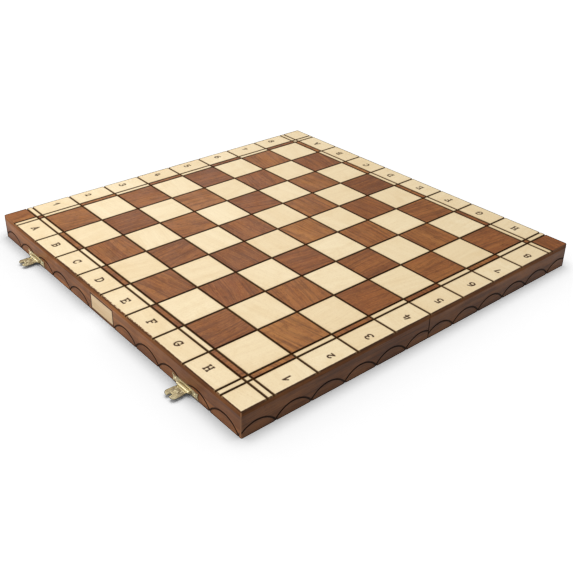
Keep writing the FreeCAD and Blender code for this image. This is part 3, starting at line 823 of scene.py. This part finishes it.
def pressSign(bm, burnLayer, top, sign, middle, reading, tilt, draw):
    # swap a cell's flat top for one with a fine patch that holds the pressed strokes
    heart = sum((v.co for v in top), Vector()) / len(top)

    def bearing(corner):
        return math.atan2(corner.co.y - heart.y, corner.co.x - heart.x)

    corners = sorted(top, key=bearing)
    count = int(stamp["patch"] / stamp["step"])
    axis = np.linspace(-stamp["patch"] / 2, stamp["patch"] / 2, count + 1)
    gridX, gridY = (part.ravel() for part in np.meshgrid(axis, axis, indexing="ij"))
    across, upward = gridX * reading.x + gridY * reading.y, gridY * reading.x - gridX * reading.y
    away = strokeDistance(np.stack([across, upward], 1), stampSegments(sign, tilt))
    phase = draw.uniform(0, stamp["phases"])
    perX, perY = stamp["wobblePer"]
    away += stamp["wobble"] * np.sin(across * perX + phase) * np.cos(upward * perY + 2 * phase)
    press = 1 - easeIn(away, stamp["stroke"] - stamp["soft"], stamp["stroke"] + stamp["soft"])
    halo = stamp["haloTone"] * (1 - easeIn(away, stamp["stroke"], stamp["stroke"] + stamp["halo"]))
    heights = board["top"] - stamp["depth"] * press
    grid = [bm.verts.new(spot) for spot in zip(gridX + middle.x, gridY + middle.y, heights)]
    for vert, burn in zip(grid, np.maximum(press, halo)):
        vert[burnLayer] = float(burn)
    rows = [grid[n:n + count + 1] for n in range(0, len(grid), count + 1)]
    for row, following in zip(rows[:-1], rows[1:]):
        for j in range(count):
            bm.faces.new((row[j], following[j], following[j + 1], row[j + 1])).smooth = True
    # corners run round from the low left one
    bm.faces.new([corners[0], corners[1]] + [row[0] for row in reversed(rows)])
    bm.faces.new([corners[1], corners[2]] + rows[-1][::-1])
    bm.faces.new([corners[2], corners[3]] + [row[-1] for row in rows])
    bm.faces.new([corners[3], corners[0]] + rows[0])


def stampCells(half, seed):
    draw = random.Random(seed)
    bm = bmesh.new()
    bm.from_mesh(nodes[half + "_coordinate_cells"].data)
    bmesh.ops.remove_doubles(bm, verts=bm.verts, dist=stamp["weld"])
    burnLayer = bm.verts.layers.float.new("burn")
    cells = {}
    for face in bm.faces:
        spot = face.calc_center_median()
        if face.normal.z > 0.99 and spot.z > board["top"] - stamp["level"]:
            key = tuple(math.floor(value / board["square"]) for value in spot.xy)
            cells.setdefault((key, abs(spot.y) > board["strip"]), []).append(face)
    for faces in cells.values():
        verts = {v for face in faces for v in face.verts}
        middle = sum((v.co for v in verts), Vector()) / len(verts)
        bmesh.ops.delete(bm, geom=faces, context="FACES_ONLY")
        loose = [edge for edge in bm.edges if not edge.link_faces]
        bmesh.ops.delete(bm, geom=loose, context="EDGES")
        sign, spot, reading, tilt = cellSign(middle, draw)
        pressSign(bm, burnLayer, list(verts), sign, spot, reading, tilt, draw)
    name = half + "_stamped_cells"
    piece = newPiece(name, bm, half + "_half", paleWood, half + "_coordinate_cells")
    print(half, "cells stamped:", len(cells), "signs,", len(piece.data.vertices), "points")


stampCells("near", 11)
stampCells("far", 12)


# felt in the trays

feltSheet = {
    "cellsX": 110, "cellsY": 52, "lift": 0.00012, "edge": 0.0003,   # ripples, and the rounded border
    "waves": 6, "waveTurns": (8, 40), "phases": 6, "backing": 0.00002,
}


def layFelt(half, seed):
    look = feltSheet
    draw = random.Random(seed)
    low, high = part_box(half + "_felt_lining")
    size = high - low
    spans = (look["waveTurns"], look["waveTurns"], (0, look["phases"]))
    waves = [tuple(draw.uniform(*span) for span in spans) for n in range(look["waves"])]
    countX, countY = look["cellsX"], look["cellsY"]
    bm = bmesh.new()

    def rippled(x, y, onBorder):
        ripple = sum(math.sin(a * x + b * y + c) for a, b, c in waves) / len(waves)
        return low.z + look["lift"] * (1 + ripple) + (look["edge"] if onBorder else 0.0)

    def layer(flat):
        columns = []
        for i in range(countX + 1):
            x = low.x + size.x * i / countX
            column = []
            for j in range(countY + 1):
                y = low.y + size.y * j / countY
                onBorder = i in (0, countX) or j in (0, countY)
                z = high.z - look["backing"] if flat else rippled(x, y, onBorder)
                column.append(bm.verts.new((x, y, z)))
            columns.append(column)
        return columns

    under, over = layer(False), layer(True)
    for i in range(countX):
        for j in range(countY):
            cell = ((i, j), (i, j + 1), (i + 1, j + 1), (i + 1, j))
            bm.faces.new([under[a][b] for a, b in cell]).smooth = True
            bm.faces.new([over[a][b] for a, b in reversed(cell)])
    for i in range(countX):
        for j, first, second in ((0, under, over), (countY, over, under)):
            bm.faces.new((first[i][j], first[i + 1][j], second[i + 1][j], second[i][j]))
    for j in range(countY):
        for i, first, second in ((0, over, under), (countX, under, over)):
            bm.faces.new((first[i][j], first[i][j + 1], second[i][j + 1], second[i][j]))
    bmesh.ops.recalc_face_normals(bm, faces=bm.faces)
    piece = newPiece(half + "_felt", bm, half + "_half", greenFelt, half + "_felt_lining")
    print(half, "felt laid:", len(piece.data.vertices), "points")


layFelt("near", 21)
layFelt("far", 22)


# raised ornament on the brass, half sunk into the plates

def circle(middle, radius, first, second, count):
    # points round a middle, in the plane of two directions
    angles = (2 * math.pi * n / count for n in range(count))
    return [middle + radius * (math.cos(a) * first + math.sin(a) * second) for a in angles]


def addBead(bm, path, thick, closed):
    # round wire swept along points, with tapered ends when it is open
    sides = 8
    endShare = 0.35
    count = len(path)
    rings = []
    for n, spot in enumerate(path):
        if closed:
            ahead, behind = path[(n + 1) % count], path[n - 1]
        else:
            ahead, behind = path[min(n + 1, count - 1)], path[max(n - 1, 0)]
        run = (ahead - behind).normalized()
        upright = abs(run.z) > 0.9
        aside = (run.orthogonal() if upright else run.cross(Vector((0, 0, 1)))).normalized()
        taper = endShare if not closed and n in (0, count - 1) else 1.0
        points = circle(spot, thick * taper, aside, aside.cross(run), sides)
        rings.append([bm.verts.new(point) for point in points])
    for n in range(count if closed else count - 1):
        here, there = rings[n], rings[(n + 1) % count]
        for k in range(sides):
            bm.faces.new((here[k], here[(k + 1) % sides], there[(k + 1) % sides], there[k]))
    if not closed:
        bm.faces.new(rings[0][::-1])
        bm.faces.new(rings[-1])


def addPetal(bm, spot, along, size):
    # low dome, longer than wide
    spin = along.to_track_quat("X", "Z").to_matrix().to_4x4()
    place = Matrix.Translation(spot) @ spin @ Matrix.Diagonal((*size, 1.0))
    bmesh.ops.create_uvsphere(bm, u_segments=14, v_segments=9, radius=1.0, matrix=place)


def softLoop(points, parts=5):
    # a soft closed line through a few points
    count = len(points)
    path = []
    for n in range(count):
        a, b, c, d = (points[(n + k) % count] for k in (-1, 0, 1, 2))
        for part in range(parts):
            t = part / parts
            square, cube = (2 * a - 5 * b + 4 * c - d) * t ** 2, (3 * b - a - 3 * c + d) * t ** 3
            path.append(0.5 * (2 * b + (c - a) * t + square + cube))
    return path


# shares are of half the tongue's width and of its length from the pivot
tongueRelief = {
    "blade": 0.0009, "barrel": 0.0015, "bead": 0.00026, "vine": 0.00024,
    "edge": [(0.80, 0.17), (0.78, 0.24), (0.87, 0.35), (0.88, 0.69), (0.82, 0.85), (0.63, 0.94), (0.36, 0.94),
             (0.35, 0.72)],
    "scrolls": [(0.50, 0.30, 0.0014, 1), (0.58, 0.62, 0.0013, -1)],   # place, reach and hand
    "scrollSteps": 22, "scrollTurn": 9.0, "scrollTaper": 0.8,
    "rosette": 0.46, "petals": 6, "petalRing": 0.0015, "petal": (0.00105, 0.00060, 0.00034),
    "boss": (0.0007, 0.0007, 0.0005),
    "rings": (-0.72, -0.36, 0.0, 0.36, 0.72), "ringOut": 0.00008, "ringThick": 0.0003, "ringSteps": 28,
}


def dressTongue(side):
    look = tongueRelief
    low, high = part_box(side + "_latch_tongue")
    middle, half = (low.x + high.x) / 2, (high.x - low.x) / 2
    pivot = Vector((middle, high.y - look["barrel"], high.z - look["barrel"]))
    length = pivot.y - low.y
    face = low.z + look["blade"]

    def at(across, along):
        return Vector((middle + across * half, pivot.y - along * length, face))

    bm = bmesh.new()
    loop = [at(*share) for share in look["edge"]] + [at(-u, v) for u, v in reversed(look["edge"])]
    addBead(bm, softLoop(loop), look["bead"], True)
    for across, along, reach, hand in look["scrolls"]:
        for mirror in (-1, 1):
            spiral = []
            for n in range(look["scrollSteps"] + 1):
                part = n / look["scrollSteps"]
                turn = hand * look["scrollTurn"] * part
                out = Vector((mirror * math.cos(turn), math.sin(turn), 0))
                spiral.append(at(mirror * across, along) + reach * (1 - look["scrollTaper"] * part) * out)
            addBead(bm, spiral, look["vine"], False)
    heart = at(0, look["rosette"])
    for n in range(look["petals"]):
        turn = 2 * math.pi * n / look["petals"]
        out = Vector((math.cos(turn), math.sin(turn), 0))
        addPetal(bm, heart + out * look["petalRing"], out, look["petal"])
    addPetal(bm, heart, Vector((1, 0, 0)), look["boss"])
    ringRadius = look["barrel"] + look["ringOut"] - look["ringThick"]
    for share in look["rings"]:
        hub = pivot + Vector((share * half, 0, 0))
        ring = circle(hub, ringRadius, Vector((0, 1, 0)), Vector((0, 0, 1)), look["ringSteps"])
        addBead(bm, ring, look["ringThick"], True)
    newPiece(side + "_tongue_relief", bm, side + "_latch", raisedBrass).data.shade_smooth()


plateRelief = {
    "thick": 0.0008, "ring": 0.0017, "ringSteps": 24, "bead": 0.00013, "inset": 0.0011, "barEnd": 0.62,
    "flare": 1.06 ** 2,                                  # the plate's box over its straight edges
    "nails": {"latch_plate": 0.030, "catch": 0.021},     # from nail to nail
}


def dressPlate(side, kind, body):
    # a ring round each nail, and a bead along both edges of the plate
    look = plateRelief
    name = side + "_" + kind
    low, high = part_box(name)
    middle, half = (low.x + high.x) / 2, (high.x - low.x) / 2
    face = math.copysign(board["side"] + look["thick"], low.y)
    height = (low.z + high.z) / 2
    rise = (high.z - low.z) / 2 / look["flare"] - look["inset"]
    bm = bmesh.new()
    for end in (-1, 1):
        hub = Vector((middle + end * look["nails"][kind] / 2, face, height))
        ring = circle(hub, look["ring"], Vector((1, 0, 0)), Vector((0, 0, 1)), look["ringSteps"])
        addBead(bm, ring, look["bead"], True)
        for edge in (-1, 1):
            bar = [Vector((middle + end * share * half, face, height + edge * rise))
                   for share in (0.0, look["barEnd"] / 2, look["barEnd"])]
            addBead(bm, bar, look["bead"], False)
    newPiece(name + "_relief", bm, body, raisedBrass).data.shade_smooth()


for side in ("left", "right"):
    dressTongue(side)
    dressPlate(side, "latch_plate", "near_half")
    dressPlate(side, "catch", "far_half")
print("brass dressed")


# studio

studio = {
    "key": {"place": (-0.85, -1.3, 0.45), "size": 1.2, "power": 29.5, "gloss": False, "lights": "board"},
    "sparkle": {"place": (-0.85, -1.3, 0.45), "size": 1.2, "power": 29.5, "gloss": True, "lights": "brass"},
    "card": {"place": (-1.2, 0.65, 0.9), "size": 1.0, "power": 3.0, "gloss": True, "lights": "board"},
    "overhead": {"place": (0.0, 0.0, 1.5), "size": 1.4, "power": 10.8, "gloss": True, "lights": "all"},
    "ambient": 0.38, "backdrop": 1.03, "floorHalf": 2.5, "floorDrop": 0.0001,
    "floor": {"Base Color": tint(250, 250, 250), "Roughness": 0.9},
}


def makeFloor():
    bm = bmesh.new()
    bmesh.ops.create_grid(bm, x_segments=4, y_segments=4, size=studio["floorHalf"])
    mesh = bpy.data.meshes.new("floor")
    bm.to_mesh(mesh)
    bm.free()
    mesh.materials.append(newFinish("paleFloor", studio["floor"])[0])
    floor = bpy.data.objects.new("floor", mesh)
    floor.location.z = -studio["floorDrop"]  # just clear of the rails' undersides
    bpy.context.scene.collection.objects.link(floor)
    floor.is_shadow_catcher = True
    return floor


def makeLamp(name, floor):
    look = studio[name]
    lamp = bpy.data.lights.new(name, "AREA")
    lamp.shape = "DISK"
    lamp.size = look["size"]
    lamp.energy = look["power"]
    piece = bpy.data.objects.new(name, lamp)
    piece.location = look["place"]
    piece.rotation_euler = (-Vector(look["place"])).to_track_quat("-Z", "Y").to_euler()
    bpy.context.scene.collection.objects.link(piece)
    piece.visible_glossy = look["gloss"]  # the low key leaves no glare on the lacquer
    if look["lights"] == "all":
        return
    chosen = bpy.data.collections.new(name + "Receivers")
    piece.light_linking.receiver_collection = chosen
    if look["lights"] == "brass":
        for other in bpy.context.scene.objects:
            if other.type == "MESH" and other.data.materials[0] in (stampedBrass, turnedBrass, raisedBrass):
                chosen.objects.link(other)
    else:  # all but the floor, which keeps an even shadow all round
        chosen.objects.link(floor)
        chosen.collection_objects[0].light_linking.link_state = "EXCLUDE"


def makeLights(floor):
    for name in ("key", "sparkle", "card", "overhead"):
        makeLamp(name, floor)
    world = bpy.data.worlds.new("studio")
    world.use_nodes = True
    bpy.context.scene.world = world
    tree = world.node_tree
    background = tree.nodes["Background"].inputs
    background["Color"].default_value = (1.0, 1.0, 1.0, 1.0)
    seen = addNode(tree, "ShaderNodeLightPath").outputs["Is Camera Ray"]
    feed(tree, background["Strength"], mixValue(tree, seen, studio["ambient"], studio["backdrop"]))
    bpy.context.scene.view_settings.view_transform = "Standard"
    bpy.context.scene.cycles.caustics_reflective = False


# aimed close to the middle of the board, which sits a little high in the picture
viewpoint = {
    "place": (0.649453, -0.546211, 0.463877), "azimuth": 50.3149, "elevation": 28.0110, "roll": 0.4600,
    "lens": 51.756, "sensor": 36.0, "shift": (0.024, -0.080), "nearest": 0.01,
}


def makeCamera():
    azimuth, elevation, roll = (math.radians(viewpoint[k]) for k in ("azimuth", "elevation", "roll"))
    level = Vector((math.sin(azimuth), -math.cos(azimuth), 0))
    back = math.cos(elevation) * level + Vector((0, 0, math.sin(elevation)))
    right = Vector((0, 0, 1)).cross(back).normalized()
    up = back.cross(right)
    tilted = math.cos(roll) * right + math.sin(roll) * up
    upright = math.cos(roll) * up - math.sin(roll) * right
    data = bpy.data.cameras.new("camera")
    data.lens = viewpoint["lens"]
    data.sensor_width = viewpoint["sensor"]
    data.shift_x, data.shift_y = viewpoint["shift"]
    data.clip_start = viewpoint["nearest"]
    camera = bpy.data.objects.new("camera", data)
    turned = Matrix((tilted, upright, back)).transposed().to_4x4()
    camera.matrix_world = Matrix.Translation(viewpoint["place"]) @ turned
    bpy.context.scene.collection.objects.link(camera)
    bpy.context.scene.camera = camera


makeLights(makeFloor())
makeCamera()
print("studio ready")
